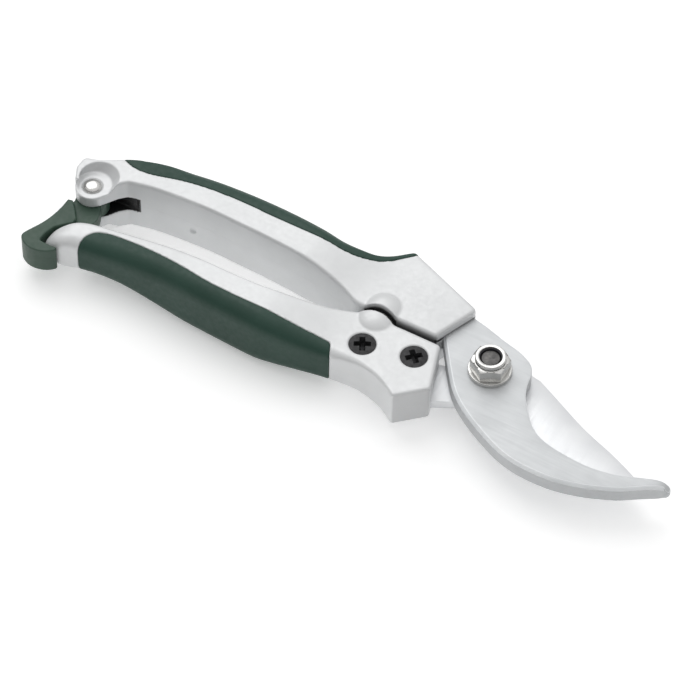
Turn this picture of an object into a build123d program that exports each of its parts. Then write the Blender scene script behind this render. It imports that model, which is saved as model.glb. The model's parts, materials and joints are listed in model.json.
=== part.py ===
from build123d import *
import os
from math import cos, radians, sin, sqrt

# Bypass pruner, locked closed: two die-cast handles with moulded grips, a hook and a blade
# on one bolt, a coil spring in pockets between the handles, and a swinging catch at the tail.
#
# Layout while modelling, in mm: pivot axis at x = y = 0, +X towards the jaw tips,
# +Y towards the handle that carries the hook, +Z up, z = 0 at the handles' middle plane.

os.makedirs("parts", exist_ok=True)

# ---- driving dimensions -------------------------------------------------------------
HEAD_HALF = 6.5            # half thickness of both heads
GRIP_HALF = 9.5            # half thickness of both handles at the grips
FLAT_TRIM = 0.1            # crown ground off the grips, which leaves flat sides to lie on
NOSE_HALF = 6.6            # half thickness of the lower handle's tail nose
EDGE_R = 1.2               # small edge radius of the castings
LOWER_EDGE_R = 0.8         # on the lower handle, where walls meet its trimmed head
NOSE_TIP_X = -133.1        # end of the lower handle
NOSE_LENGTH = 7.6          # length over which its rounded nose thins out
NOSE_END_X = -119.0        # the nose and the bar are shaped apart and joined here
PALM_R = 5.0               # large radius of the palm sides
GAP_Y_UPPER = 1.2          # closed gap between the heads: upper wall
GAP_Y_LOWER = -0.8         # closed gap between the heads: lower wall

HOOK_TOP = 3.5
HOOK_BOTTOM = -1.5
PLAY = 0.05                # running clearance round the blade
BLADE_TOP = HOOK_BOTTOM - PLAY
BLADE_THICK = 2.9
BLADE_BOTTOM = BLADE_TOP - BLADE_THICK

BOLT_R = 3.0               # M6
WASHER_R = 6.25
WASHER_BORE_R = 3.2
WASHER_THICK = 1.2
HEX_ACROSS_FLATS = 10.0
BOLT_HEAD_THICK = 4.0
BOLT_SETBACK = 0.8         # end of the bolt below the top of the nut
NUT_HEX_THICK = 3.8
NUT_THICK = 5.2
NUT_COLLAR_R = 4.4
NUT_LIP_R = 3.3            # opening in the rolled collar
LOCK_RING_R = 3.9
LOCK_RING_TOP = 0.4        # below the top of the nut
LOCK_RING_BOTTOM = 1.8
NUT_FLAT_ANGLE = -61.5     # direction that one flat of the nut faces

SCREW_R = 2.0              # M4 countersunk
SCREW_HEAD_R = 4.05
SCREW_HEAD_THICK = 2.2
CROSS_LENGTH = 4.3
CROSS_WIDTH = 0.95
CROSS_DEPTH = 1.6
BLADE_SCREWS = {"blade_screw_front": (-19.6, -8.3, 45.0), "blade_screw_rear": (-34.2, -11.6, 28.5)}
HOOK_SCREWS = {"hook_screw_front": (-20.0, 10.8, 10.0), "hook_screw_rear": (-33.2, 14.3, 62.0)}

SPRING_X = -35.6           # spring axis, parallel to Y
SPRING_R = 4.15
SPRING_WIRE_R = 0.65
SPRING_TURNS = 7
POCKET_R = 5.2
POCKET_END_UPPER = 8.0
POCKET_END_LOWER = -6.9
DOME_R = 8.2               # outside of the spring housing
DOME_END_UPPER = 3.1       # centres of its round ends
DOME_END_LOWER = -1.6
DOME_STEP = 0.15           # each half stands back from its handle's inner wall

PIN = (-130.3, 0.2)        # catch pin axis
PIN_R = 2.0
PIN_HEAD_R = 2.7
PIN_SINK_R = 3.1
PIN_SINK = 0.6             # depth of the seats under the pin's heads
EAR_R = 5.0
EAR_TOP = 6.5
SLOT_HALF = 2.65
TONGUE_HALF = 2.5
CATCH_HALF = 4.25
CATCH_ARC_R = 23.6         # hooking face of the catch, about the pin

GRIP_CORE_HALF = 5.5       # half thickness of the casting under the grips
GRIP_SKIN = 2.6            # grip thickness on the palm side

FAR = 20                   # cutting solids reach this far, clear of everything


# ---- helpers ------------------------------------------------------------------------
def ramp(x, x0, v0, x1, v1):
    """Smooth step from v0 at x0 to v1 at x1."""
    t = min(max((x - x0) / (x1 - x0), 0.0), 1.0)
    return v0 + (v1 - v0) * t * t * (3 - 2 * t)


def through(points):
    """Smooth height curve y(x) through a few points, in order of x."""
    def slope(k):
        a = points[max(k - 1, 0)]
        b = points[min(k + 1, len(points) - 1)]
        return (b[1] - a[1]) / (b[0] - a[0])

    def height(x):
        i = 0
        while i < len(points) - 2 and x > points[i + 1][0]:
            i += 1
        (x0, y0), (x1, y1) = points[i], points[i + 1]
        w = x1 - x0
        t = (x - x0) / w
        a = (2 * t**3 - 3 * t**2 + 1) * y0 + (t**3 - 2 * t**2 + t) * w * slope(i)
        b = (3 * t**2 - 2 * t**3) * y1 + (t**3 - t**2) * w * slope(i + 1)
        return a + b

    return height


def section(x, y_in, y_out, half, r_in, r_out):
    """Cross-section of a handle: flat inner wall, rounder outer wall."""
    s = 1 if y_out > y_in else -1
    k = 1 - sqrt(0.5)
    top = half - r_in
    side = half - r_out
    a = [(x, y_in, -top), (x, y_in, top), (x, y_in + s * r_in * k, half - r_in * k)]
    b = [(x, y_in + s * r_in, half), (x, y_out - s * r_out, half)]
    c = [(x, y_out - s * r_out * k, half - r_out * k), (x, y_out, side), (x, y_out, -side)]
    d = [(x, y_out - s * r_out * k, -half + r_out * k), (x, y_out - s * r_out, -half)]
    e = [(x, y_in + s * r_in, -half), (x, y_in + s * r_in * k, -half + r_in * k)]
    return Wire([
        Line(a[0], a[1]),
        ThreePointArc(a[1], a[2], b[0]),
        Line(b[0], b[1]),
        ThreePointArc(b[1], c[0], c[1]),
        Line(c[1], c[2]),
        ThreePointArc(c[2], d[0], d[1]),
        Line(d[1], e[0]),
        ThreePointArc(e[0], e[1], a[0]),
    ])


def prism(face, z0, z1):
    """Solid between two heights over a flat face drawn at z = 0."""
    return Pos(0, 0, z0) * extrude(face, z1 - z0, dir=(0, 0, 1))


def polygon(*points):
    return make_face(Polyline(*points, close=True))


def rounded(face, corners, radius):
    """Fillet the corners of a flat face that lie nearest the given points."""
    picked = [min(face.vertices(), key=lambda v: (Vector(*c, 0) - Vector(v)).length) for c in corners]
    return fillet(picked, radius)


def disc(x, y, r, z0, z1):
    return Pos(x, y, z0) * Cylinder(r, z1 - z0, align=(Align.CENTER, Align.CENTER, Align.MIN))


def hexagon(z0, z1):
    flat = Rot(0, 0, NUT_FLAT_ANGLE + 30) * RegularPolygon(HEX_ACROSS_FLATS / 2, 6, major_radius=False)
    return prism(flat, z0, z1)


def region(*curves):
    """Flat face bounded by curves; each is a list of points, smooth when it has over two."""
    edges = []
    for points in curves:
        edges.append(Spline(*points) if len(points) > 2 else Line(*points))
    return make_face(edges)


def soften(solid, wire_face, radius, skip=()):
    """Fillet the edges that a trim along wire_face left on the solid, except at its corners."""
    wire = wire_face.face().outer_wire()
    cut = []
    for edge in solid.edges():
        flat = [Vertex((edge @ t).X, (edge @ t).Y, 0) for t in (0.1, 0.5, 0.9)]
        upright = abs(edge.tangent_at(0.5).Z) > 0.99
        corner = upright and any((Vector(*c, 0) - Vector(flat[1])).length < 4 for c in skip)
        if not corner and all(wire.distance_to(v) < 0.02 for v in flat):
            cut.append(edge)
    return fillet(cut, radius)


# ---- handle outlines ----------------------------------------------------------------
UPPER_INNER = [
    (-122, 4.0), (-117, 5.4), (-111, 6.4), (-96, 7.3), (-85, 7.0), (-75, 6.6), (-65, 5.8), (-55, 4.3),
    (-48.5, 2.6), (-44.5, 0.9), (-41.5, 0.4), (-38.5, 1.4), (-36, 1.9), (-33, 1.7),
    (-30, GAP_Y_UPPER), (-27, GAP_Y_UPPER), (-5, GAP_Y_UPPER),
]
UPPER_OUTER = [
    (-131.7, 8.6), (-125.4, 12.3), (-121, 14.2), (-111.8, 17.8), (-101.9, 19.7), (-88.8, 20.6), (-75, 20.5),
    (-62, 19.5), (-54, 18.5), (-49, 18.4), (-45.5, 19.3), (-42, 21.9), (-40, 23.7), (-38, 25.6), (-35, 27.0),
    (-32, 27.4), (-28, 27.5), (-5, 27.5),
]
LOWER_INNER = [
    (NOSE_TIP_X, -20.5), (-132.7, -18.6), (-131.9, -17.0), (-130.8, -15.6), (-129, -14.0), (-126.5, -12.8),
    (-123, -11.9), (-118, -11.0), (-108.6, -10.0), (-96, -9.4), (-85.6, -9.4), (-77.5, -9.5),
    (-67, -9.1), (-57.7, -7.6), (-48.8, -5.3), (-43.5, -3.0), (-40.7, -1.7), (-38.6, -0.8),
    (-36, -0.2), (-33.2, -0.2), (-30.8, -0.7), (-28.4, GAP_Y_LOWER), (-26, GAP_Y_LOWER), (-5, GAP_Y_LOWER),
]
LOWER_OUTER = [
    (NOSE_TIP_X, -21.6), (-132.7, -22.4), (-131.9, -22.9), (-130.8, -23.1), (-129, -23.0), (-126.5, -22.3),
    (-123.4, -21.2), (-116.5, -20.1), (-108.3, -19.7), (-97.5, -20.1),
    (-86.3, -21.0), (-75.5, -21.7), (-66.1, -22.2), (-61.5, -22.2), (-51.6, -21.2), (-41.1, -19.6),
    (-36.8, -18.9), (-31.8, -18.5), (-25.9, -19.6), (-21.6, -21.6), (-17, -24.5), (-12, -26.5), (-5, -27.5),
]
upper_inner = through(UPPER_INNER)
upper_outer = through(UPPER_OUTER)
lower_inner = through(LOWER_INNER)
lower_outer = through(LOWER_OUTER)

TAIL_X = -121.0            # the upper tail fork starts here
TAIL_END_X = -136.9
WALL_END_Y = -1.8          # the full-height wall round the pin dish stops here


def upper_section(x):
    half = ramp(x, -66, GRIP_HALF + FLAT_TRIM, -38, HEAD_HALF)
    palm = ramp(x, TAIL_X, EDGE_R, -105, PALM_R) if x < -80 else ramp(x, -60, PALM_R, -47, 1.4)
    return section(x, upper_inner(x), upper_outer(x), half, EDGE_R, palm)


def lower_section(x):
    full = GRIP_HALF + FLAT_TRIM
    half = ramp(x, -121, NOSE_HALF, -84, full) if x < -80 else ramp(x, -66, full, -38, HEAD_HALF)
    palm = ramp(x, -125, 4.0, -105, PALM_R) if x < -80 else ramp(x, -60, PALM_R, -24, 1.3)
    t = min((x - NOSE_TIP_X) / NOSE_LENGTH, 1)
    half *= sqrt(1 - (1 - t) ** 2)
    width = lower_inner(x) - lower_outer(x)
    inner_r = min(ramp(x, -131, 3.0, -122, EDGE_R), 0.33 * width, 0.6 * half)
    outer_r = min(palm, 0.6 * width, 0.85 * half)
    return section(x, lower_inner(x), lower_outer(x), half, inner_r, outer_r)


def even(x0, x1, count):
    """Evenly spaced stations from x0 to x1."""
    return [x0 + (x1 - x0) * i / count for i in range(count + 1)]


def bar(make, stations):
    """Handle bar lofted through cross-sections."""
    return Solid.make_loft([make(x) for x in stations], False)


between_sides = Box(400, 200, 2 * GRIP_HALF)


# ---- spring housing -----------------------------------------------------------------
along_y = Rot(-90, 0, 0)
dome_start = (SPRING_X, DOME_END_LOWER - DOME_R)
dome_end = (SPRING_X, DOME_END_UPPER + DOME_R)
half_capsule = make_face([
    CenterArc((SPRING_X, DOME_END_LOWER), DOME_R, -90, 90),
    Line((SPRING_X + DOME_R, DOME_END_LOWER), (SPRING_X + DOME_R, DOME_END_UPPER)),
    CenterArc((SPRING_X, DOME_END_UPPER), DOME_R, 0, 90),
    Line(dome_end, dome_start),
])
dome = revolve(half_capsule, Axis((SPRING_X, 0, 0), (0, 1, 0)))
middle = (POCKET_END_UPPER + POCKET_END_LOWER) / 2
pocket = Pos(SPRING_X, middle, 0) * along_y * Cylinder(POCKET_R, POCKET_END_UPPER - POCKET_END_LOWER)


def dome_zone(height, side, x0=-46.0, x1=-24.0):
    """Plan area of one half of the dome: everything beyond that handle's inner wall."""
    line = [(x, height(x) + side * DOME_STEP) for x in even(x0, x1, 11)]
    far = side * 15
    return region(line, [line[-1], (x1, far)], [(x1, far), (x0, far)], [(x0, far), line[0]])


# ---- upper handle: bar with trimmed head, tail fork, spring housing half --------------
HEAD_CORNER = (-12.2, 15.6)
head_keep = polygon((-160, -20), (-26.1, -20), HEAD_CORNER, (-60, 34.4), (-160, 34.4))
head_keep = rounded(head_keep, [HEAD_CORNER], 1.6)
upper_body = bar(upper_section, even(TAIL_X, -7, 40)) & prism(head_keep, -FAR, FAR)
upper_body = soften(upper_body, head_keep, EDGE_R, [HEAD_CORNER]) & between_sides

ear_start = (PIN[0] + EAR_R * cos(radians(208)), PIN[1] + EAR_R * sin(radians(208)))
ear_end = (PIN[0] + EAR_R * cos(radians(-35)), PIN[1] + EAR_R * sin(radians(-35)))
tail_outline = make_face([
    Spline((TAIL_X, upper_outer(TAIL_X)), (-125.4, 12.3), (-129, 10.1), (-132.2, 8.2), (-135.4, 7.0)),
    Line((-135.4, 7.0), (TAIL_END_X, 6.4)),
    Line((TAIL_END_X, 6.4), (TAIL_END_X, 2.2)),
    Line((TAIL_END_X, 2.2), ear_start),
    ThreePointArc(ear_start, (PIN[0], PIN[1] - EAR_R), ear_end),
    Line(ear_end, (-122.9, 2.4)),
    Line((-122.9, 2.4), (TAIL_X, upper_inner(TAIL_X))),
    Line((TAIL_X, upper_inner(TAIL_X)), (TAIL_X, upper_outer(TAIL_X))),
])
tail_outline = rounded(tail_outline, [(TAIL_END_X, 6.4), (TAIL_END_X, 2.2)], 1.6)
tail = prism(tail_outline, -GRIP_HALF, GRIP_HALF)
tail_rims = tail.faces().sort_by(Axis.Z)[-1].edges() + tail.faces().sort_by(Axis.Z)[0].edges()
tail = fillet([e for e in tail_rims if (e @ 0.5).X < TAIL_X - 0.01], 0.8)
dish = loft([Pos(-130.1, 0.5, EAR_TOP) * Circle(5.4), Pos(-128.5, 2.6, GRIP_HALF + 1.0) * Circle(5.9)])
dish += prism(polygon((-140, -10), (-120, -10), (-120, WALL_END_Y), (-140, WALL_END_Y)), EAR_TOP, FAR)
tail -= dish
tail -= mirror(dish, Plane.XY)
upper_body += tail
slot = disc(*PIN, 5.4, -SLOT_HALF, SLOT_HALF)
slot += prism(polygon((-150, -10), (PIN[0], -10), (PIN[0], 4.0), (-150, 4.0)), -SLOT_HALF, SLOT_HALF)
slot += prism(polygon((PIN[0], -10), (-118, -10), (-118, 5.6), (PIN[0], 5.6)), -SLOT_HALF, SLOT_HALF)
upper_body -= slot
upper_body -= disc(*PIN, PIN_R, -FAR, FAR)
upper_body -= disc(*PIN, PIN_SINK_R, EAR_TOP - PIN_SINK, FAR)
upper_body -= disc(*PIN, PIN_SINK_R, -FAR, PIN_SINK - EAR_TOP)
upper_body += dome & prism(dome_zone(upper_inner, 1), -FAR, FAR)
upper_body -= pocket

# ---- lower handle: bar with trimmed head and rounded nose ------------------------------
CHIN = (-10.1, -16.0)
chin_keep = polygon((-160, 10), (-19.1, 10), CHIN, (-22, -27.4), (-22, -60), (-160, -60))
chin_keep = rounded(chin_keep, [CHIN], 1.5)
nose_stations = [NOSE_END_X + (NOSE_TIP_X - NOSE_END_X) * cos(radians(a)) for a in even(6, 90, 14)]
lower_bar = bar(lower_section, nose_stations) + bar(lower_section, even(NOSE_END_X, -6, 42))
lower_body = lower_bar & prism(chin_keep, -FAR, FAR)
lower_body = soften(lower_body, chin_keep, LOWER_EDGE_R, [CHIN]) & between_sides
lower_body += dome & prism(dome_zone(lower_inner, -1), -FAR, FAR)
lower_body -= pocket

# ---- hook jaw and blade ---------------------------------------------------------------
HOOK_INNER = [
    (-10.9, 14.2), (-7.9, 13.5), (-1.6, 11.6), (4.5, 10.0), (7.2, 8.8), (9.3, 7.3), (10.4, 5.5),
    (11.1, 2.5), (11.9, -0.8), (13.5, -4.0), (16, -7.5), (18.3, -10.3), (21.8, -13.1), (26.8, -14.9),
    (32.5, -15.7), (37.9, -16.0), (42.9, -15.5), (47.6, -14.4), (51.5, -12.8), (55.4, -11.2), (58.0, -10.3),
    (60.2, -10.0),
]
HOOK_OUTER = [
    (-17.6, 5.0), (-15.3, 1.6), (-10.3, -5.4), (-5.2, -11.7), (0.5, -16.2), (8.9, -20.9), (15.8, -23.8), (21.8, -25.1),
    (27.3, -25.3), (32.4, -25.0), (37.2, -24.0), (41.7, -22.6), (46.0, -20.8), (50.2, -18.7),
    (54.1, -16.0), (57.3, -13.9), (60.4, -11.9),
]
HOOK_TIP = (61.6, -10.8)
HOOK_BEVEL = 0.9
HOOK_TANG = [
    (-17.6, 5.0), (-26, 5.6), (-29, 10.0), (-38, 11.5), (-38, 16.0), (-33, 18.6),
    (-24, 17.6), (-10.9, 14.2),
]
hook_outline = make_face([
    Spline(*HOOK_INNER),
    ThreePointArc(HOOK_INNER[-1], HOOK_TIP, HOOK_OUTER[-1]),
    Spline(*reversed(HOOK_OUTER)),
    *[Line(a, b) for a, b in zip(HOOK_TANG, HOOK_TANG[1:])],
])
hook = prism(hook_outline, HOOK_BOTTOM, HOOK_TOP)
rims = [e for e in hook.edges() if (e @ 0.5).Z > HOOK_TOP - 0.01 and e.tangent_at(0.5).Z < 0.1]
back_rim = min(rims, key=lambda e: (Vector(15.8, -23.8, HOOK_TOP) - (e @ 0.5)).length)
hook = chamfer(back_rim, HOOK_BEVEL)
hook -= disc(0, 0, BOLT_R, -FAR, FAR)

BLADE_BOSS_R = 10.5
GRIND_DEPTH = 2.4          # bevel that sharpens the blade, on its underside
GRIND_WIDTH = 3.5
SPINE = [(12.2, 7.6), (17.2, 5.2), (24, 1.8), (30.9, -1.5), (39.2, -4.6), (49.4, -9.0), (55.4, -12.2)]
CUTTING_EDGE = [
    (55.4, -12.2), (51.5, -15.0), (46.5, -17.4), (40, -19.0), (33, -19.2), (26.5, -18.0), (20.5, -15.6),
    (14.5, -11.6), (9.0, -9.3), (3.0, -10.0),
]
BLADE_TANG = [
    (3.0, -10.0), (-5.1, -11.2), (-10.5, -14.1), (-17, -15.4), (-39.5, -15.2), (-39.5, -8.2),
    (-28.2, -8.2), (-27.2, -3.2), (-14.3, -1.4), (-9.0, 0.0),
]
blade_outline = make_face([
    Spline(*SPINE),
    Spline(*CUTTING_EDGE),
    *[Line(a, b) for a, b in zip(BLADE_TANG, BLADE_TANG[1:])],
    Line(BLADE_TANG[-1], (-6.0, 6.0)),
    Line((-6.0, 6.0), (2.0, 9.5)),
    Line((2.0, 9.5), SPINE[0]),
])
blade_outline += Circle(BLADE_BOSS_R)
blade = prism(blade_outline, BLADE_BOTTOM, BLADE_TOP)
under = [e for e in blade.edges() if (e @ 0.5).Z < BLADE_BOTTOM + 0.01 and e.length > 40]
ground = min(under, key=lambda e: (Vector(33, -19.2, BLADE_BOTTOM) - (e @ 0.5)).length)
blade = chamfer(ground, GRIND_DEPTH, GRIND_WIDTH)
blade -= disc(0, 0, BOLT_R + PLAY, -FAR, FAR)
upper_body -= prism(hook_outline, HOOK_BOTTOM, HOOK_TOP)
lower_body -= prism(blade_outline, BLADE_BOTTOM, BLADE_TOP)


# ---- bolt stack at the pivot ----------------------------------------------------------
def chamfered_hex(z0, z1, bevel_top, bevel_bottom):
    corner_r = HEX_ACROSS_FLATS / 2 / cos(radians(30))
    blank = disc(0, 0, corner_r + 0.05, z0, z1)
    if bevel_top:
        blank = chamfer(blank.edges().group_by(Axis.Z)[-1], 0.45, 0.8)
    if bevel_bottom:
        blank = chamfer(blank.edges().group_by(Axis.Z)[0], 0.45, 0.8)
    return hexagon(z0, z1) & blank


washer_top = HOOK_TOP + WASHER_THICK
nut_hex_top = washer_top + NUT_HEX_THICK
nut_top = washer_top + NUT_THICK
back_washer_top = BLADE_BOTTOM - PLAY
back_washer_bottom = -GRIP_HALF + BOLT_HEAD_THICK
bolt_end = nut_top - BOLT_SETBACK

pivot_washer = disc(0, 0, WASHER_R, HOOK_TOP, washer_top)
pivot_washer = fillet(pivot_washer.edges(), 0.25) - disc(0, 0, WASHER_BORE_R, 0, FAR)
pivot_back_washer = disc(0, 0, WASHER_R, back_washer_bottom, back_washer_top)
pivot_back_washer = fillet(pivot_back_washer.edges(), 0.2) - disc(0, 0, WASHER_BORE_R, -FAR, 0)

pivot_bolt = chamfered_hex(-GRIP_HALF, back_washer_bottom, False, True)
shank = disc(0, 0, BOLT_R, back_washer_bottom, bolt_end)
pivot_bolt += chamfer(shank.edges().group_by(Axis.Z)[-1], 0.5)

pivot_nut = chamfered_hex(washer_top, nut_hex_top, True, False)
collar = disc(0, 0, NUT_COLLAR_R, nut_hex_top, nut_top)
pivot_nut += fillet(collar.edges().group_by(Axis.Z)[-1], 0.35)
pivot_nut -= disc(0, 0, BOLT_R, 0, FAR)
lock_ring = disc(0, 0, LOCK_RING_R, nut_top - LOCK_RING_BOTTOM, nut_top - LOCK_RING_TOP)
pivot_nut -= lock_ring
pivot_nut -= disc(0, 0, NUT_LIP_R, nut_top - LOCK_RING_BOTTOM, FAR)
nut_lock_ring = lock_ring - disc(0, 0, BOLT_R, 0, FAR)


# ---- countersunk cross-slot screws ----------------------------------------------------
def screw(x, y, turn, length):
    """Screw with its head up at z = 0, pointing down."""
    body = Pos(0, 0, -SCREW_HEAD_THICK / 2 - 0.15)
    body = body * Cone(SCREW_R, SCREW_HEAD_R, SCREW_HEAD_THICK - 0.3)
    body += disc(0, 0, SCREW_HEAD_R, -0.3, 0)
    body += disc(0, 0, SCREW_R, -length, 0.15 - SCREW_HEAD_THICK)
    for angle in (turn, turn + 90):
        body -= Rot(0, 0, angle) * Pos(0, 0, -CROSS_DEPTH / 2) * Box(CROSS_LENGTH, CROSS_WIDTH, CROSS_DEPTH)
    return Pos(x, y, 0) * body


def screw_seat(x, y, length):
    seat = Pos(0, 0, -SCREW_HEAD_THICK / 2 - 0.15) * Cone(SCREW_R, SCREW_HEAD_R, SCREW_HEAD_THICK - 0.3)
    seat += disc(0, 0, SCREW_HEAD_R, -0.3, 3)
    seat += disc(0, 0, SCREW_R, -length, 0.15 - SCREW_HEAD_THICK)
    return Pos(x, y, 0) * seat


screws = {}
for name, (x, y, turn) in BLADE_SCREWS.items():
    length = HEAD_HALF - BLADE_BOTTOM
    screws[name] = Pos(0, 0, HEAD_HALF) * screw(x, y, turn, length)
    seat = Pos(0, 0, HEAD_HALF) * screw_seat(x, y, length)
    lower_body -= seat
    blade -= seat
for name, (x, y, turn) in HOOK_SCREWS.items():
    length = HOOK_TOP + HEAD_HALF
    flipped = Pos(0, 0, -HEAD_HALF) * Rot(180, 0, 0)
    screws[name] = flipped * screw(x, -y, turn, length)
    seat = flipped * screw_seat(x, -y, length)
    upper_body -= seat
    hook -= seat

# ---- spring ---------------------------------------------------------------------------
wire_run = POCKET_END_UPPER - POCKET_END_LOWER - 2 * SPRING_WIRE_R
coil = Helix(wire_run / SPRING_TURNS, wire_run, SPRING_R)
wire = Plane(coil @ 0, z_dir=coil % 0) * Circle(SPRING_WIRE_R)
main_spring = sweep(wire, coil, is_frenet=True)
main_spring = Pos(SPRING_X, POCKET_END_LOWER + SPRING_WIRE_R, 0) * along_y * main_spring


# ---- tail catch -----------------------------------------------------------------------
def catch_arc(x):
    """Point of the catch's hooking face, an arc about the pin."""
    return (x, PIN[1] - sqrt(CATCH_ARC_R**2 - (PIN[0] - x) ** 2))


catch_body = make_face([
    Polyline((-133.6, -22.6), (-133.5, -20.1), (-132.6, -16.9), (-130.3, -14.2), (-128.9, -12.9),
             (-128.7, -11.2), (-130.9, -8.4), (-133.4, -5.6), (-134.9, -6.0)),
    Spline((-134.9, -6.0), (-134.9, -9.8), (-135.4, -13.5), (-136.5, -17.4), (-138.6, -22.2), (-139.0, -23.9),
           (-137.2, -26.1), (-134.0, -27.1), (-130.6, -26.5), (-128.4, -25.1), (-127.6, -23.6),
           catch_arc(-127.9)),
    ThreePointArc(catch_arc(-127.9), catch_arc(PIN[0]), catch_arc(-133.2)),
    Line(catch_arc(-133.2), (-133.6, -22.6)),
])
latch_lever = prism(catch_body, -CATCH_HALF, CATCH_HALF)
tongue = polygon((-134.6, -1.5), (-133.8, -4.0), (-134.2, -8.0), (-130.6, -13.0), (-127.0, -12.1), (-124.4, -10.9),
                 (-124.2, -6.7), (-125.5, -3.4), (-126.2, -2.2), (-126.2, 0.2), (-134.4, 0.2))
latch_lever += prism(tongue, -TONGUE_HALF, TONGUE_HALF)
latch_lever += disc(*PIN, 4.8, -TONGUE_HALF, TONGUE_HALF)
latch_lever -= disc(*PIN, PIN_R + PLAY, -FAR, FAR)

latch_pin = disc(*PIN, PIN_R, PIN_SINK - EAR_TOP, EAR_TOP - PIN_SINK)
for side in (1, -1):
    head = disc(*PIN, PIN_HEAD_R, EAR_TOP - PIN_SINK, EAR_TOP + 0.8)
    head = chamfer(head.edges().group_by(Axis.Z)[-1], 0.4)
    latch_pin += head if side == 1 else mirror(head, Plane.XY)

# ---- moulded grips set flush into the palm sides ---------------------------------------
upper_zone = region(
    [(-127.5, 12.0), (-125.7, 11.2), (-123, 10.3), (-120, 10.0), (-109.7, 12.3), (-98.7, 14.2), (-81.3, 14.5),
     (-69.4, 14.3), (-60, 14.3), (-54.8, 14.2), (-51.5, 14.5), (-48.3, 15.4), (-44.7, 16.9),
     (-41.5, 19.5), (-38.8, 22.4), (-36.8, 24.6), (-35.0, 27.4)],
    [(-35.0, 27.4), (-35.0, 40)],
    [(-35.0, 40), (-127.5, 40)],
    [(-127.5, 40), (-127.5, 12.0)],
)
upper_core = region(
    [(x, upper_outer(x) - GRIP_SKIN) for x in (-132, -126, -121, -112, -102, -88, -75, -62, -54, -49, -45, -40, -34)],
    [(-34, upper_outer(-34) - GRIP_SKIN), (-34, 0)],
    [(-34, 0), (-132, 0)],
    [(-132, 0), (-132, upper_outer(-132) - GRIP_SKIN)],
)
lower_zone = region(
    [(-42, -15.9), (-44.5, -15.9), (-52.8, -16.3), (-63.2, -16.4), (-73.6, -16.4), (-84, -15.8),
     (-92, -14.6), (-99.3, -13.6), (-110.4, -12.8), (-116.6, -13.2), (-120.1, -14.6), (-121.8, -17.5),
     (-122.2, -22), (-122.2, -30)],
    [(-122.2, -30), (-35.5, -30)],
    [(-35.5, -30), (-42, -15.9)],
)
lower_zone = rounded(lower_zone, [(-42, -15.9)], 1.5)
lower_core = region(
    [(x, lower_outer(x) + GRIP_SKIN) for x in (-124, -116, -108, -98, -86, -75, -66, -61, -52, -44, -36)],
    [(-36, lower_outer(-36) + GRIP_SKIN), (-36, -5)],
    [(-36, -5), (-124, -5)],
    [(-124, -5), (-124, lower_outer(-124) + GRIP_SKIN)],
)
upper_grip = (upper_body & prism(upper_zone, -FAR, FAR)) - prism(upper_core, -GRIP_CORE_HALF, GRIP_CORE_HALF)
upper_handle = upper_body - upper_grip
lower_grip = (lower_body & prism(lower_zone, -FAR, FAR)) - prism(lower_core, -GRIP_CORE_HALF, GRIP_CORE_HALF)
lower_handle = lower_body - lower_grip

# ---- export, moved so that the origin is the middle of the bounding box's bottom -------
nodes = {
    "upper_handle": upper_handle,
    "upper_grip": upper_grip,
    "lower_handle": lower_handle,
    "lower_grip": lower_grip,
    "hook_jaw": hook,
    "cutting_blade": blade,
    "pivot_bolt": pivot_bolt,
    "pivot_back_washer": pivot_back_washer,
    "pivot_washer": pivot_washer,
    "pivot_nut": pivot_nut,
    "nut_lock_ring": nut_lock_ring,
    **screws,
    "main_spring": main_spring,
    "latch_lever": latch_lever,
    "latch_pin": latch_pin,
}
boxes = [shape.bounding_box() for shape in nodes.values()]
low = [min(getattr(b.min, a) for b in boxes) for a in "XYZ"]
high = [max(getattr(b.max, a) for b in boxes) for a in "XYZ"]
origin = ((low[0] + high[0]) / 2, (low[1] + high[1]) / 2, low[2])
for name, shape in nodes.items():
    export_step(Pos(-origin[0], -origin[1], -origin[2]) * shape, f"parts/{name}.step")
print("origin moved by", [round(-v, 4) for v in origin], "size", [round(h - l, 4) for l, h in zip(low, high)])
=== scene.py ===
import json
import math

import bmesh
import bpy
import numpy as np
from mathutils import Matrix, Vector


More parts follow.
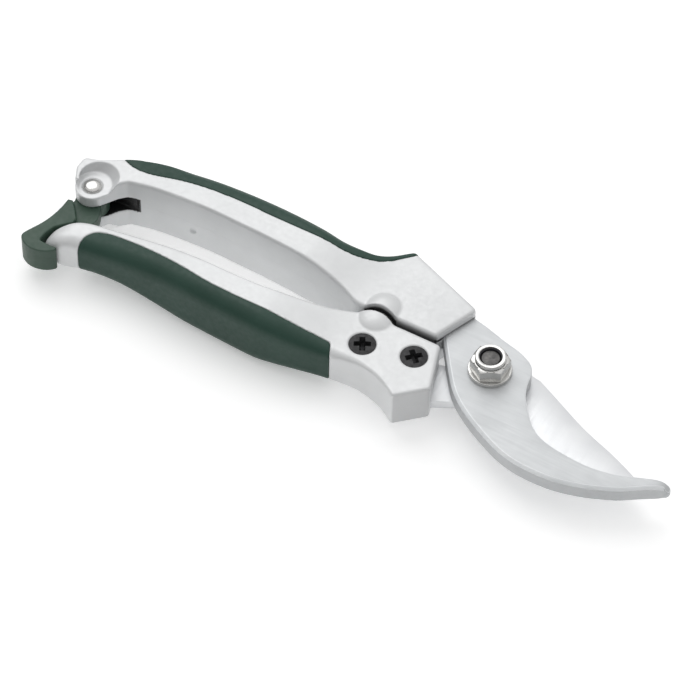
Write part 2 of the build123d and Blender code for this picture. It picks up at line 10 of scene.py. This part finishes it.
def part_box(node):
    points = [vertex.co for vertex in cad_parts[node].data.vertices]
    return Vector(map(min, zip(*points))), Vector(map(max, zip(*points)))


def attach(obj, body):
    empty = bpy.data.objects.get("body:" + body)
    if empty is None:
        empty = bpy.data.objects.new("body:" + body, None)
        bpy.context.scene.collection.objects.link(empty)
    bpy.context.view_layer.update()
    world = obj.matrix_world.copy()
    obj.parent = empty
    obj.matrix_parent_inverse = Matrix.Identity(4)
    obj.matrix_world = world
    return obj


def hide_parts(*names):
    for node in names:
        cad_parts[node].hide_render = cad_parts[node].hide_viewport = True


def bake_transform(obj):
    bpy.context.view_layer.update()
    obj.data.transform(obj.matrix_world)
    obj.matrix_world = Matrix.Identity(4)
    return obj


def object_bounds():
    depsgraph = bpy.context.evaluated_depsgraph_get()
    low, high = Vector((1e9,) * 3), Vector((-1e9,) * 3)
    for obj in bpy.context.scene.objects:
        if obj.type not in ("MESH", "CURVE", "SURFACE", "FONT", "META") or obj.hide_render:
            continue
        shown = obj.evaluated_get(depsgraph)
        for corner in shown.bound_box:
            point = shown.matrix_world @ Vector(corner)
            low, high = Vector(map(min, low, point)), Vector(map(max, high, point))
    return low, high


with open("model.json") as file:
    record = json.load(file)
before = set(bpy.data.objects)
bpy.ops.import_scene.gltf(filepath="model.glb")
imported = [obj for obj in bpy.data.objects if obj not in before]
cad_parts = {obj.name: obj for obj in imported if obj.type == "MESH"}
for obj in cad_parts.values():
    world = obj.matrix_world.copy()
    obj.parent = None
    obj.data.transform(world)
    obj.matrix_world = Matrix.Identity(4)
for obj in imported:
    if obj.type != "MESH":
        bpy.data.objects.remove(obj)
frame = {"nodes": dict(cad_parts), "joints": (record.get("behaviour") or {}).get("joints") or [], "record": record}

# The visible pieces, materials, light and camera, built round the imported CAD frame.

MM = 0.001
cad_low, cad_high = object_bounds()
joints = {joint["name"]: joint for joint in frame["joints"]}
bodies = {node: body for body, nodes in frame["record"]["behaviour"]["bodies"].items() for node in nodes}
slots = {part["node"]: part["material_slot"] for part in frame["record"]["subparts"]}
PIVOT = Vector(joints["handle_open"]["pos_m"])


def middle(node):
    low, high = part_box(node)
    return (low + high) / 2


# ---- camera ----------------------------------------------------------------------------------
AZIMUTH, ELEVATION, ROLL = math.radians(28.5), math.radians(50.6), math.radians(1.5)
DISTANCE = 1.0
LENS_MM = 185.1
SENSOR_MM = 36.0
AIM = Vector((-36.0, -15.4, 6.5))  # the view's middle, in mm from the pivot


def make_camera():
    data = bpy.data.cameras.new("camera")
    data.lens = LENS_MM
    data.sensor_width = SENSOR_MM
    data.clip_start = DISTANCE / 20
    data.clip_end = DISTANCE * 20
    camera = bpy.data.objects.new("camera", data)
    bpy.context.scene.collection.objects.link(camera)
    target = PIVOT + AIM * MM
    level = math.cos(ELEVATION)
    back = Vector((math.sin(AZIMUTH) * level, -math.cos(AZIMUTH) * level, math.sin(ELEVATION)))
    right = Vector((math.cos(AZIMUTH), math.sin(AZIMUTH), 0))
    up = back.cross(right)
    tilted_right = right * math.cos(ROLL) + up * math.sin(ROLL)
    tilted_up = up * math.cos(ROLL) - right * math.sin(ROLL)
    turn = Matrix((tilted_right, tilted_up, back)).transposed().to_4x4()
    camera.matrix_world = Matrix.Translation(target + back * DISTANCE) @ turn
    bpy.context.scene.camera = camera


# ---- shader helpers --------------------------------------------------------------------------
def new_material(name, color, metallic):
    """A material, its node tree and its main shader."""
    material = bpy.data.materials.new(name)
    material.use_nodes = True
    shader = material.node_tree.nodes["Principled BSDF"]
    shader.inputs["Base Color"].default_value = (*color, 1)
    shader.inputs["Metallic"].default_value = metallic
    return material, material.node_tree, shader


def noise(tree, scale, stretch=(1, 1, 1), turn=0.0, detail=2.0):
    """Noise fixed to the piece; the scale is in features per metre."""
    place = tree.nodes.new("ShaderNodeTexCoord")
    mapping = tree.nodes.new("ShaderNodeMapping")
    mapping.inputs["Rotation"].default_value = (0, 0, turn)
    mapping.inputs["Scale"].default_value = stretch
    texture = tree.nodes.new("ShaderNodeTexNoise")
    texture.inputs["Scale"].default_value = scale
    texture.inputs["Detail"].default_value = detail
    tree.links.new(place.outputs["Object"], mapping.inputs["Vector"])
    tree.links.new(mapping.outputs["Vector"], texture.inputs["Vector"])
    return texture.outputs[0]


def tint(tree, shader, amount, dark, light, low=0.3, high=0.7):
    """Base colour that wanders between two close shades."""
    ramp = tree.nodes.new("ShaderNodeValToRGB")
    ramp.color_ramp.elements[0].position = low
    ramp.color_ramp.elements[0].color = (*dark, 1)
    ramp.color_ramp.elements[1].position = high
    ramp.color_ramp.elements[1].color = (*light, 1)
    tree.links.new(amount, ramp.inputs["Fac"])
    tree.links.new(ramp.outputs["Color"], shader.inputs["Base Color"])


def vary(tree, amount, low, high, start=0.3, end=0.7):
    """Map an amount from start to end, by default a noise, to values from low to high."""
    spread = tree.nodes.new("ShaderNodeMapRange")
    spread.inputs["From Min"].default_value = start
    spread.inputs["From Max"].default_value = end
    spread.inputs["To Min"].default_value = low
    spread.inputs["To Max"].default_value = high
    tree.links.new(amount, spread.inputs["Value"])
    return spread.outputs["Result"]


def darken_painted_shade(tree, shader):
    """Painted shade: blacken the base colour where the mesh's stored painted shade is high."""
    black = 0.02
    painted_shade = tree.nodes.new("ShaderNodeAttribute")
    painted_shade.attribute_name = "painted_shade"
    ramp = tree.nodes.new("ShaderNodeValToRGB")
    ramp.color_ramp.elements[0].color = (1, 1, 1, 1)
    ramp.color_ramp.elements[1].color = (black, black, black, 1)
    both = tree.nodes.new("ShaderNodeVectorMath")
    both.operation = "MULTIPLY"
    clean = shader.inputs["Base Color"].links[0].from_socket
    tree.links.new(painted_shade.outputs["Fac"], ramp.inputs["Fac"])
    tree.links.new(clean, both.inputs[0])
    tree.links.new(ramp.outputs["Color"], both.inputs[1])
    tree.links.new(both.outputs["Vector"], shader.inputs["Base Color"])


def brighten_painted_highlight(tree, shader, most):
    """Painted highlight: lighten the base colour where the mesh's stored painted highlight is high."""
    painted_highlight = tree.nodes.new("ShaderNodeAttribute")
    painted_highlight.attribute_name = "painted_highlight"
    both = tree.nodes.new("ShaderNodeVectorMath")
    both.operation = "SCALE"
    clean = shader.inputs["Base Color"].links[0].from_socket
    tree.links.new(clean, both.inputs[0])
    gain = vary(tree, painted_highlight.outputs["Fac"], 1.0, most, start=0.0, end=1.0)
    tree.links.new(gain, both.inputs["Scale"])
    tree.links.new(both.outputs["Vector"], shader.inputs["Base Color"])


def roughen(tree, shader, amount, low, high):
    """Roughness that wanders between two values."""
    tree.links.new(vary(tree, amount, low, high), shader.inputs["Roughness"])


def relief(tree, shader, layers):
    """Bumps, each (height, depth in mm), stacked on the shader's normal."""
    normal = None
    for height, depth in layers:
        bump = tree.nodes.new("ShaderNodeBump")
        bump.inputs["Strength"].default_value = 1.0
        bump.inputs["Distance"].default_value = depth * MM
        tree.links.new(height, bump.inputs["Height"])
        if normal:
            tree.links.new(normal, bump.inputs["Normal"])
        normal = bump.outputs["Normal"]
    tree.links.new(normal, shader.inputs["Normal"])


def seam(tree, level, half_width):
    """Raised line where the casting's two mould halves met, at one height."""
    place = tree.nodes.new("ShaderNodeTexCoord")
    split = tree.nodes.new("ShaderNodeSeparateXYZ")
    offset = tree.nodes.new("ShaderNodeMath")
    offset.operation = "SUBTRACT"
    offset.inputs[1].default_value = level
    size = tree.nodes.new("ShaderNodeMath")
    size.operation = "ABSOLUTE"
    tree.links.new(place.outputs["Object"], split.inputs["Vector"])
    tree.links.new(split.outputs["Z"], offset.inputs[0])
    tree.links.new(offset.outputs[0], size.inputs[0])
    return vary(tree, size.outputs[0], 1.0, 0.0, start=0.0, end=half_width)


# ---- materials: one for each slot, one for the blade and one for the floor -------------------
def cast_aluminium():
    material, tree, shader = new_material("cast_aluminium", (0.70, 0.71, 0.71), 0.25)
    grain = noise(tree, 2600)
    tint(tree, shader, noise(tree, 60, detail=3), (0.71, 0.72, 0.725), (0.775, 0.785, 0.79))
    # painted shade in the catch slot, in the gap between the heads and on the lower head's end
    darken_painted_shade(tree, shader)
    roughen(tree, shader, noise(tree, 900), 0.36, 0.50)
    parting_line = seam(tree, PIVOT.z, 0.25 * MM)
    relief(tree, shader, [(grain, 0.012), (noise(tree, 250), 0.03), (parting_line, 0.05)])
    return material


def green_grip():
    material, tree, shader = new_material("green_grip", (0.014, 0.050, 0.034), 0.0)
    tint(tree, shader, noise(tree, 90, detail=3), (0.012, 0.046, 0.031), (0.018, 0.057, 0.040))
    roughen(tree, shader, noise(tree, 700), 0.44, 0.58)
    shader.inputs["Specular IOR Level"].default_value = 0.42
    relief(tree, shader, [(noise(tree, 3200), 0.02), (noise(tree, 500), 0.012)])
    return material


def green_catch():
    material, tree, shader = new_material("green_catch", (0.036, 0.074, 0.050), 0.0)
    tint(tree, shader, noise(tree, 150, detail=3), (0.031, 0.067, 0.045), (0.043, 0.084, 0.058))
    roughen(tree, shader, noise(tree, 900), 0.40, 0.55)
    relief(tree, shader, [(noise(tree, 3000), 0.016)])
    return material


def blade_steel():
    """The blade's finer, brighter grind, in the same slot as the hook's."""
    material, tree, shader = new_material("blade_steel", (0.78, 0.79, 0.80), 0.7)
    lines = noise(tree, 1, (2200, 90, 900), math.radians(24), 3)
    tint(tree, shader, noise(tree, 120, detail=3), (0.75, 0.76, 0.775), (0.81, 0.82, 0.83))
    roughen(tree, shader, lines, 0.38, 0.50)
    relief(tree, shader, [(lines, 0.003), (noise(tree, 1800), 0.003)])
    return material


def tool_steel():
    material, tree, shader = new_material("tool_steel", (0.62, 0.635, 0.645), 0.55)
    lines = noise(tree, 1, (90, 2400, 900), math.radians(38), 3)
    tint(tree, shader, noise(tree, 120, detail=3), (0.60, 0.615, 0.625), (0.66, 0.675, 0.685))
    # painted highlight on the hook's upward bevel and painted shade on its upright edge
    brighten_painted_highlight(tree, shader, 1.5)
    darken_painted_shade(tree, shader)
    roughen(tree, shader, lines, 0.46, 0.60)
    relief(tree, shader, [(lines, 0.005), (noise(tree, 1800), 0.004)])
    return material


def stainless():
    material, tree, shader = new_material("stainless", (0.66, 0.655, 0.64), 1.0)
    tint(tree, shader, noise(tree, 400, detail=3), (0.58, 0.575, 0.56), (0.66, 0.655, 0.64))
    roughen(tree, shader, noise(tree, 1500), 0.16, 0.28)
    relief(tree, shader, [(noise(tree, 1, (300, 3000, 3000)), 0.002), (noise(tree, 600), 0.005)])
    return material


def dark_steel():
    material, tree, shader = new_material("dark_steel", (0.10, 0.10, 0.10), 0.8)
    tint(tree, shader, noise(tree, 700, detail=4), (0.07, 0.07, 0.07), (0.16, 0.155, 0.15))
    roughen(tree, shader, noise(tree, 1500), 0.30, 0.50)
    relief(tree, shader, [(noise(tree, 1600), 0.02)])
    return material


def black_screw():
    material, tree, shader = new_material("black_screw", (0.028, 0.028, 0.029), 0.3)
    tint(tree, shader, noise(tree, 900, detail=4), (0.014, 0.014, 0.015), (0.042, 0.042, 0.044))
    roughen(tree, shader, noise(tree, 1500), 0.34, 0.50)
    # painted shade: the cross recess loses its specular reflection
    recess_painted_shade = tree.nodes.new("ShaderNodeAttribute")
    recess_painted_shade.attribute_name = "painted_shade"
    shine = vary(tree, recess_painted_shade.outputs["Fac"], 0.35, 0.0, start=0.0, end=1.0)
    tree.links.new(shine, shader.inputs["Specular IOR Level"])
    relief(tree, shader, [(noise(tree, 2200), 0.008)])
    return material


def dark_nylon():
    material, tree, shader = new_material("dark_nylon", (0.03, 0.03, 0.035), 0.0)
    tint(tree, shader, noise(tree, 900), (0.025, 0.025, 0.03), (0.045, 0.045, 0.05))
    roughen(tree, shader, noise(tree, 1500), 0.35, 0.5)
    relief(tree, shader, [(noise(tree, 2000), 0.01)])
    return material


def spring_steel():
    material, tree, shader = new_material("spring_steel", (0.50, 0.50, 0.49), 1.0)
    tint(tree, shader, noise(tree, 500, detail=3), (0.42, 0.42, 0.41), (0.56, 0.56, 0.55))
    roughen(tree, shader, noise(tree, 1500), 0.25, 0.4)
    relief(tree, shader, [(noise(tree, 2500), 0.006)])
    return material


def paper():
    material, tree, shader = new_material("paper", (0.92, 0.92, 0.92), 0.0)
    tint(tree, shader, noise(tree, 8), (0.915, 0.915, 0.915), (0.925, 0.925, 0.925))
    roughen(tree, shader, noise(tree, 40), 0.85, 0.95)
    shader.inputs["Emission Color"].default_value = (1, 1, 1, 1)
    shader.inputs["Emission Strength"].default_value = 0.30
    return material


finishes = {
    make.__name__: make()
    for make in (cast_aluminium, green_grip, green_catch, tool_steel, stainless, dark_steel, black_screw,
                 dark_nylon, spring_steel)
}


# ---- mesh helpers ----------------------------------------------------------------------------
def finish_piece(obj, node, smooth_angle=180.0):
    """Shade a visible piece, give it its slot's material, and let it stand for its CAD node."""
    obj.data.polygons.foreach_set("use_smooth", [True] * len(obj.data.polygons))
    if smooth_angle < 180:
        obj.data.set_sharp_from_angle(angle=math.radians(smooth_angle))
    obj.data.materials.clear()
    obj.data.materials.append(finishes[slots[node]])
    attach(obj, bodies[node])
    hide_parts(node)
    return obj


def add_object(name, mesh):
    obj = bpy.data.objects.new(name, mesh)
    bpy.context.scene.collection.objects.link(obj)
    return obj


def with_modifiers(node, name, *settings):
    """A copy of a CAD node's mesh with modifiers applied, each (type, {setting: value})."""
    obj = add_object(name, frame["nodes"][node].data.copy())
    for kind, values in settings:
        modifier = obj.modifiers.new(kind.lower(), kind)
        for key, value in values.items():
            setattr(modifier, key, value)
    shaped = obj.evaluated_get(bpy.context.evaluated_depsgraph_get())
    mesh = bpy.data.meshes.new_from_object(shaped)
    obj.modifiers.clear()
    obj.data = mesh
    return obj


def soft_copy(node, voxel, passes):
    """Moulded or cast piece: the CAD node with its edges softened all over."""
    remesh = ("REMESH", {"mode": "VOXEL", "voxel_size": voxel * MM, "adaptivity": 0})
    smooth = ("SMOOTH", {"factor": 0.5, "iterations": passes})
    return with_modifiers(node, node + "_shell", remesh, smooth)


def crisp_copy(node, width):
    """Machined piece: the CAD node with small bevels on its sharp edges."""
    weld = ("WELD", {"merge_threshold": 0.002 * MM})
    bevel = ("BEVEL", {"width": width * MM, "segments": 2, "limit_method": "ANGLE",
                       "angle_limit": math.radians(35), "harden_normals": False})
    return with_modifiers(node, node + "_body", weld, bevel)


def skin(name, rings):
    """Closed skin over rings of points, with a flat cap at each end."""
    count = len(rings[0])
    points = [point for ring in rings for point in ring]
    faces = [list(reversed(range(count)))]
    for i in range(len(rings) - 1):
        for k in range(count):
            a, b = i * count + k, i * count + (k + 1) % count
            faces.append([a, b, b + count, a + count])
    faces.append(list(range(len(points) - count, len(points))))
    mesh = bpy.data.meshes.new(name)
    mesh.from_pydata(points, [], faces)
    return add_object(name, mesh)


def rise(value, start, end):
    """0 before the start, 1 past the end, and a straight ramp between them."""
    return np.clip((value - start) / (end - start), 0, 1)


def read_points(obj, what="co"):
    """The places, or the normals, of a mesh's points, one row for each."""
    values = np.zeros(len(obj.data.vertices) * 3)
    obj.data.vertices.foreach_get(what, values)
    return values.reshape(-1, 3)


def write_points(obj, points):
    obj.data.vertices.foreach_set("co", points.ravel())
    obj.data.update()


def paint(obj, name, amount):
    """Store a share from 0 to 1 at each point; the amount takes mm from the pivot and the normal."""
    place = (read_points(obj) - np.array(PIVOT)) / MM
    share = np.clip(amount(place, read_points(obj, "normal")), 0, 1)
    obj.data.attributes.new(name, "FLOAT", "POINT").data.foreach_set("value", share.astype(np.float32))


def dent(obj, centre, radius, depth, direction):
    """Press a shallow round dimple into a wall that faces against the direction."""
    points = read_points(obj)
    push = np.array(direction)
    away = points - np.array(centre)
    along = away @ push
    across = np.linalg.norm(away - np.outer(along, push), axis=1)
    fall = rise(across, radius, 0.65 * radius)
    on_wall = np.abs(along) < 1.0 * MM
    points += np.outer(fall * fall * (3 - 2 * fall) * on_wall * depth, push)
    write_points(obj, points)


# ---- handles, grips and catch, with places in mm from the pivot ------------------------------
CAST_VOXEL = 0.30
CAST_PASSES = 4
CATCH_VOXEL = 0.20
CATCH_PASSES = 5
HEAD_HALF = 6.5          # half thickness of the heads
HOUSING_R = 8.2          # round housing of the spring, half in each head
SLOT_HALF = 2.75         # half height of the slot that the catch turns in
EJECTOR_MARK = Vector((-100.9, 7.0, -3.1))
EJECTOR_R = 1.1
EJECTOR_DEPTH = 0.7
UPPER_END_WAY = np.array((0.93, -0.36, 0))  # the upper head's end faces this way
LOWER_END_WAY = np.array((0.79, -0.61, 0))  # the lower head's end faces this way


def middle_of_spring():
    return (middle("main_spring").x - PIVOT.x) / MM


def catch_slot_painted_shade(place, normal):
    """Painted shade inside the slot that the catch turns in, behind the upper handle's inner wall."""
    x, y, z = place.T
    wall = np.interp(x, (-127, -122.9, -120, -117), (-1.5, 2.4, 4.4, 5.4))
    return (x > -134) & (x < -117.3) & (y > wall - 1.0) & (y < 6.5) & (np.abs(z) < SLOT_HALF)


def head_gap_painted_shade(place, normal):
    """Painted shade on the walls of the narrow gap between the heads and between the halves of the spring housing,
    and a painted shadow in the corner where the upper head stands on the hook."""
    x, y, z = place.T
    dome_top = np.sqrt(np.maximum(HOUSING_R**2 - (x - middle_of_spring()) ** 2, 0))
    in_dome = dome_top > HEAD_HALF
    sunk = np.maximum(dome_top, HEAD_HALF) - np.abs(z)
    housing = in_dome & (y > -3.0) & (y < 2.6)
    slit = ~in_dome & (x > -32) & (x < -12) & (y > -1.4) & (y < 2.3)
    gap = housing * rise(sunk, 0.9, 1.7) + slit * np.minimum(rise(sunk, 0.4, 3.0), 0.84)
    facing = rise(np.abs(normal[:, 1]), 0.5, 0.8)
    corner = (x > -19) & (y > 0) & (z > 3.2) & (normal @ UPPER_END_WAY > 0.6)
    return facing * gap + corner * rise(z, 4.3, 3.8)


def lower_end_painted_shade(place, normal):
    """Painted shade: the lower head's end a little darker than its flat faces."""
    x, y, z = place.T
    return 0.24 * (x > -20) * (y < -11) * rise(normal @ LOWER_END_WAY, 0.85, 0.95)


# painted shade on the upper handle: the catch slot and the gap between the heads
def upper_painted_shade(place, normal):
    return catch_slot_painted_shade(place, normal) + head_gap_painted_shade(place, normal)


# painted shade on the lower handle: the gap between the heads and the head's end
def lower_painted_shade(place, normal):
    return head_gap_painted_shade(place, normal) + lower_end_painted_shade(place, normal)


def make_handles():
    upper = soft_copy("upper_handle", CAST_VOXEL, CAST_PASSES)
    dent(upper, PIVOT + EJECTOR_MARK * MM, EJECTOR_R * MM, EJECTOR_DEPTH * MM, (0, 1, 0))
    finish_piece(upper, "upper_handle")
    # each handle stores its painted shade
    paint(upper, "painted_shade", upper_painted_shade)
    lower = finish_piece(soft_copy("lower_handle", CAST_VOXEL, CAST_PASSES), "lower_handle")
    paint(lower, "painted_shade", lower_painted_shade)


def make_grips():
    for node in ("upper_grip", "lower_grip"):
        finish_piece(soft_copy(node, CAST_VOXEL, CAST_PASSES), node)


def make_catch():
    finish_piece(soft_copy("latch_lever", CATCH_VOXEL, CATCH_PASSES), "latch_lever")


# ---- jaws and pivot hardware -----------------------------------------------------------------
HOOK_VOXEL = 0.16
HOOK_PASSES = 8
BLADE_BEVEL = 0.10
SHARP_ANGLE = 35         # edges steeper than this, in degrees, stay sharp on machined pieces
TIP_TAPER = 7.0          # length over which the hook's tip gets thinner
TIP_ROUND = 3.2          # length of its rounded end


def round_tip(hook):
    """Thin the hook's tip from above and round its end, as if ground."""
    low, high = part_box("hook_jaw")
    points = read_points(hook)
    x, z = points[:, 0], points[:, 2]
    taper = rise(x, high.x - TIP_TAPER * MM, high.x)
    z = low.z + (z - low.z) * (1 - 0.26 * taper**3)
    end = rise(x, high.x - TIP_ROUND * MM, high.x)
    level = low.z + 0.42 * (high.z - low.z)
    points[:, 2] = level + (z - level) * np.sqrt(1 - 0.85 * end**2)
    write_points(hook, points)


def bevel_painted_highlight(place, normal):
    """Painted highlight on the bevel round the hook's upper face, by how far it faces up."""
    up = normal[:, 2]
    return rise(up, 0.30, 0.50) * rise(up, 0.985, 0.945)


def edge_painted_shade(place, normal):
    """Painted shade on the upright edge all round the hook."""
    return 0.16 * rise(np.abs(normal[:, 2]), 0.45, 0.25)


def make_jaws():
    """The hook with its soft edges, and the crisp blade, whose material has the same slot."""
    hook = soft_copy("hook_jaw", HOOK_VOXEL, HOOK_PASSES)
    # painted highlight on the bevel, painted shade on the upright edge
    paint(hook, "painted_highlight", bevel_painted_highlight)
    paint(hook, "painted_shade", edge_painted_shade)
    round_tip(hook)
    finish_piece(hook, "hook_jaw")
    blade = finish_piece(crisp_copy("cutting_blade", BLADE_BEVEL), "cutting_blade", SHARP_ANGLE)
    blade.data.materials[0] = blade_steel()


def make_pivot_stack():
    """The nut, its ring, the washers and the bolt, each with the bevel its edges have."""
    for node, width in (("pivot_nut", 0.14), ("pivot_washer", 0.05), ("pivot_back_washer", 0.05),
                        ("pivot_bolt", 0.14), ("nut_lock_ring", 0.12)):
        finish_piece(crisp_copy(node, width), node, SHARP_ANGLE)


# ---- countersunk cross-recess screws ---------------------------------------------------------
SCREW_SIDES = 120
HEAD_RINGS = 40
SHANK_R = 2.0
CONE_BOTTOM = -2.05      # these four heights are from the top of the head
CONE_TOP = -0.6
RIM_TOP = -0.45
CROWN_EDGE = -0.3
RECESS_DEPTH = 1.9
ARM_HALF_LENGTH, ARM_END_SLOPE = 2.45, 0.85
ARM_HALF_WIDTH, ARM_SIDE_SLOPE = 0.80, 0.36


def cross_recess(x, y):
    """Depth share of a tapered cross recess at a point of the screw head, in mm."""
    def arm(u, v):
        side = (ARM_HALF_WIDTH - abs(v)) / ARM_SIDE_SLOPE
        end = (ARM_HALF_LENGTH - abs(u)) / ARM_END_SLOPE
        return min(side, end, 1.0)
    return max(arm(x, y), arm(y, x), 0.0)


def screw_profile(head_r, length):
    """Radius and height of each ring, from the screw's end up and in over its crowned head."""
    profile = [(0.02, -length), (SHANK_R - 0.15, -length), (SHANK_R, -length + 0.2), (SHANK_R, CONE_BOTTOM),
               (head_r, CONE_TOP), (head_r, RIM_TOP)]
    for i in range(HEAD_RINGS + 1):
        outward = 1 - i / HEAD_RINGS
        profile.append(((head_r - 0.15) * outward + 0.02, CROWN_EDGE * outward**2))
    return profile


def make_screw(node, turn, flip):
    """A screw with its recess turned, and its head up, or down where flip is -1."""
    low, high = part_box(node)
    centre = (low + high) / 2
    top = high.z if flip > 0 else low.z
    turned = Matrix.Rotation(-turn, 2)
    rings = []
    shares = []
    for radius, z in screw_profile((high.x - low.x) / 2 / MM, (high.z - low.z) / MM):
        ring = []
        for k in range(SCREW_SIDES):
            angle = flip * 2 * math.pi * k / SCREW_SIDES
            x, y = radius * math.cos(angle), radius * math.sin(angle)
            share = cross_recess(*turned @ Vector((x, y))) if z > RIM_TOP else 0.0
            height = top + flip * (z - RECESS_DEPTH * share) * MM
            ring.append((centre.x + x * MM, centre.y + y * MM, height))
            shares.append(share)
        rings.append(ring)
    screw = skin(node + "_body", rings)
    # the recess depth share is also stored as painted shade
    screw.data.attributes.new("painted_shade", "FLOAT", "POINT").data.foreach_set("value", shares)
    finish_piece(screw, node, 40)


def make_screws():
    for node, turn, flip in (("blade_screw_front", 45.0, 1), ("blade_screw_rear", 28.5, 1),
                             ("hook_screw_front", 10.0, -1), ("hook_screw_rear", 62.0, -1)):
        make_screw(node, math.radians(turn), flip)


# ---- catch pin -------------------------------------------------------------------------------
PIN_SIDES = 64


def make_pin():
    """Rivet with a low domed head at each end."""
    low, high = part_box("latch_pin")
    half = (high.z - low.z) / 2 / MM
    head_r = (high.x - low.x) / 2 / MM
    dome = [(0.05, 0.0), (0.9, -0.04), (1.7, -0.18), (2.25, -0.42), (head_r - 0.05, -0.75), (head_r, -0.95),
            (head_r, -1.4), (2.0, -1.4)]
    top = [(r, half + z) for r, z in dome]
    profile = [(r, -z) for r, z in top] + list(reversed(top))
    centre = (low + high) / 2
    rings = []
    for radius, z in profile:
        angles = [2 * math.pi * k / PIN_SIDES for k in range(PIN_SIDES)]
        rings.append([(centre.x + radius * MM * math.cos(a), centre.y + radius * MM * math.sin(a),
                       centre.z + z * MM) for a in angles])
    finish_piece(skin("latch_pin_body", rings), "latch_pin", 50)


# ---- coil spring -----------------------------------------------------------------------------
SPRING_TURNS = 7
STEPS_PER_TURN = 40
WIRE_R = 0.65
WIRE_SIDES = 14


def make_spring():
    """Compression spring with a closed turn at each end."""
    low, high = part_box("main_spring")
    centre = (low + high) / 2
    radius = (high.x - low.x) / 2 - WIRE_R * MM
    run = high.y - low.y - 2 * WIRE_R * MM
    closed = 2.1 * WIRE_R * MM
    open_pitch = (run - 2 * closed) / (SPRING_TURNS - 2)

    def place(turns):
        done = min(turns, 1) * closed + max(min(turns, SPRING_TURNS - 1) - 1, 0) * open_pitch
        done += max(turns - SPRING_TURNS + 1, 0) * closed
        angle = 2 * math.pi * turns
        return Vector((centre.x + radius * math.cos(angle), low.y + WIRE_R * MM + done,
                       centre.z + radius * math.sin(angle)))

    rings = []
    count = SPRING_TURNS * STEPS_PER_TURN
    for i in range(count + 1):
        turns = i / STEPS_PER_TURN
        here = place(turns)
        outward = Vector((here.x - centre.x, 0, here.z - centre.z)).normalized()
        along = (place(min(turns + 0.01, SPRING_TURNS)) - place(max(turns - 0.01, 0))).normalized()
        side = along.cross(outward)
        rings.append([here + (outward * math.cos(a) + side * math.sin(a)) * WIRE_R * MM
                      for a in (2 * math.pi * k / WIRE_SIDES for k in range(WIRE_SIDES))])
    spring = skin("main_spring_coil", rings)
    spring.data.polygons.foreach_set("use_smooth", [True] * len(spring.data.polygons))
    spring.data.set_sharp_from_angle(angle=math.radians(50))
    spring.data.materials.append(finishes["spring_steel"])
    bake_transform(spring)
    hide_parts("main_spring")


# ---- studio ----------------------------------------------------------------------------------
FLOOR_HALF = 3
FLOOR_GAP = 0.05         # floor below the part, in mm
BRIGHTEST = Vector((-0.08, 0.26, 0.96))
KEY_PLACE = (-0.50, 0.42, 0.9)
KEY_SIZE = 0.9
KEY_POWER = 3.2


def make_floor():
    grid = bmesh.new()
    bmesh.ops.create_grid(grid, x_segments=1, y_segments=1, size=FLOOR_HALF)
    mesh = bpy.data.meshes.new("floor")
    grid.to_mesh(mesh)
    floor = add_object("floor", mesh)
    floor.location.z = cad_low.z - FLOOR_GAP * MM
    mesh.materials.append(paper())


def make_world():
    """White overhead, a little to the back, and greyer towards the horizon."""
    world = bpy.data.worlds.new("studio")
    bpy.context.scene.world = world
    world.use_nodes = True
    tree = world.node_tree
    place = tree.nodes.new("ShaderNodeTexCoord")
    towards = tree.nodes.new("ShaderNodeVectorMath")
    towards.operation = "DOT_PRODUCT"
    towards.inputs[1].default_value = BRIGHTEST
    tree.links.new(place.outputs["Generated"], towards.inputs[0])
    shade = vary(tree, towards.outputs["Value"], 0.05, 0.90, start=-0.1, end=0.85)
    tree.links.new(shade, tree.nodes["Background"].inputs["Strength"])
    tree.nodes["Background"].inputs["Color"].default_value = (1, 1, 1, 1)
    bpy.context.scene.view_settings.view_transform = "Standard"


def area_light(name, place, size, power):
    """A square light aimed at the pivot."""
    data = bpy.data.lights.new(name, "AREA")
    data.size = size
    data.energy = power
    light = add_object(name, data)
    light.location = place
    light.rotation_euler = (PIVOT - Vector(place)).to_track_quat("-Z", "Y").to_euler()


make_camera()
make_handles()
make_grips()
make_catch()
make_jaws()
make_pivot_stack()
make_screws()
make_pin()
make_spring()
make_floor()
make_world()
area_light("key", KEY_PLACE, KEY_SIZE, KEY_POWER)
